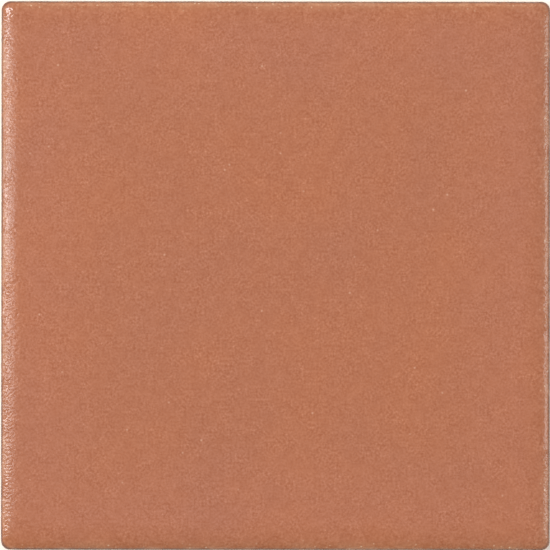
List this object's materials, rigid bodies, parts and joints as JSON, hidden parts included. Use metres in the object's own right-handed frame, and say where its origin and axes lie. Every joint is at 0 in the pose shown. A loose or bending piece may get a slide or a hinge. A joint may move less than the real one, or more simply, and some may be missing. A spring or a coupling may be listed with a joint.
{
  "type": "square tile",
  "caption": "Square glazed ceramic wall tile with cushioned face edges, rounded corners and a keyed bed for adhesive.",
  "frame": {"origin": "middle of the bed, the rough side that the adhesive takes, at the tile's lowest plane", "axes": "+Z out of the glazed face; +X and +Y along the two pairs of sides, which are alike"},
  "size_m": [0.108, 0.108, 0.008],
  "materials": {
    "glaze": "satin"
  },
  "bodies": {
    "root": {"tile": "glaze"}
  },
  "joints": []
}
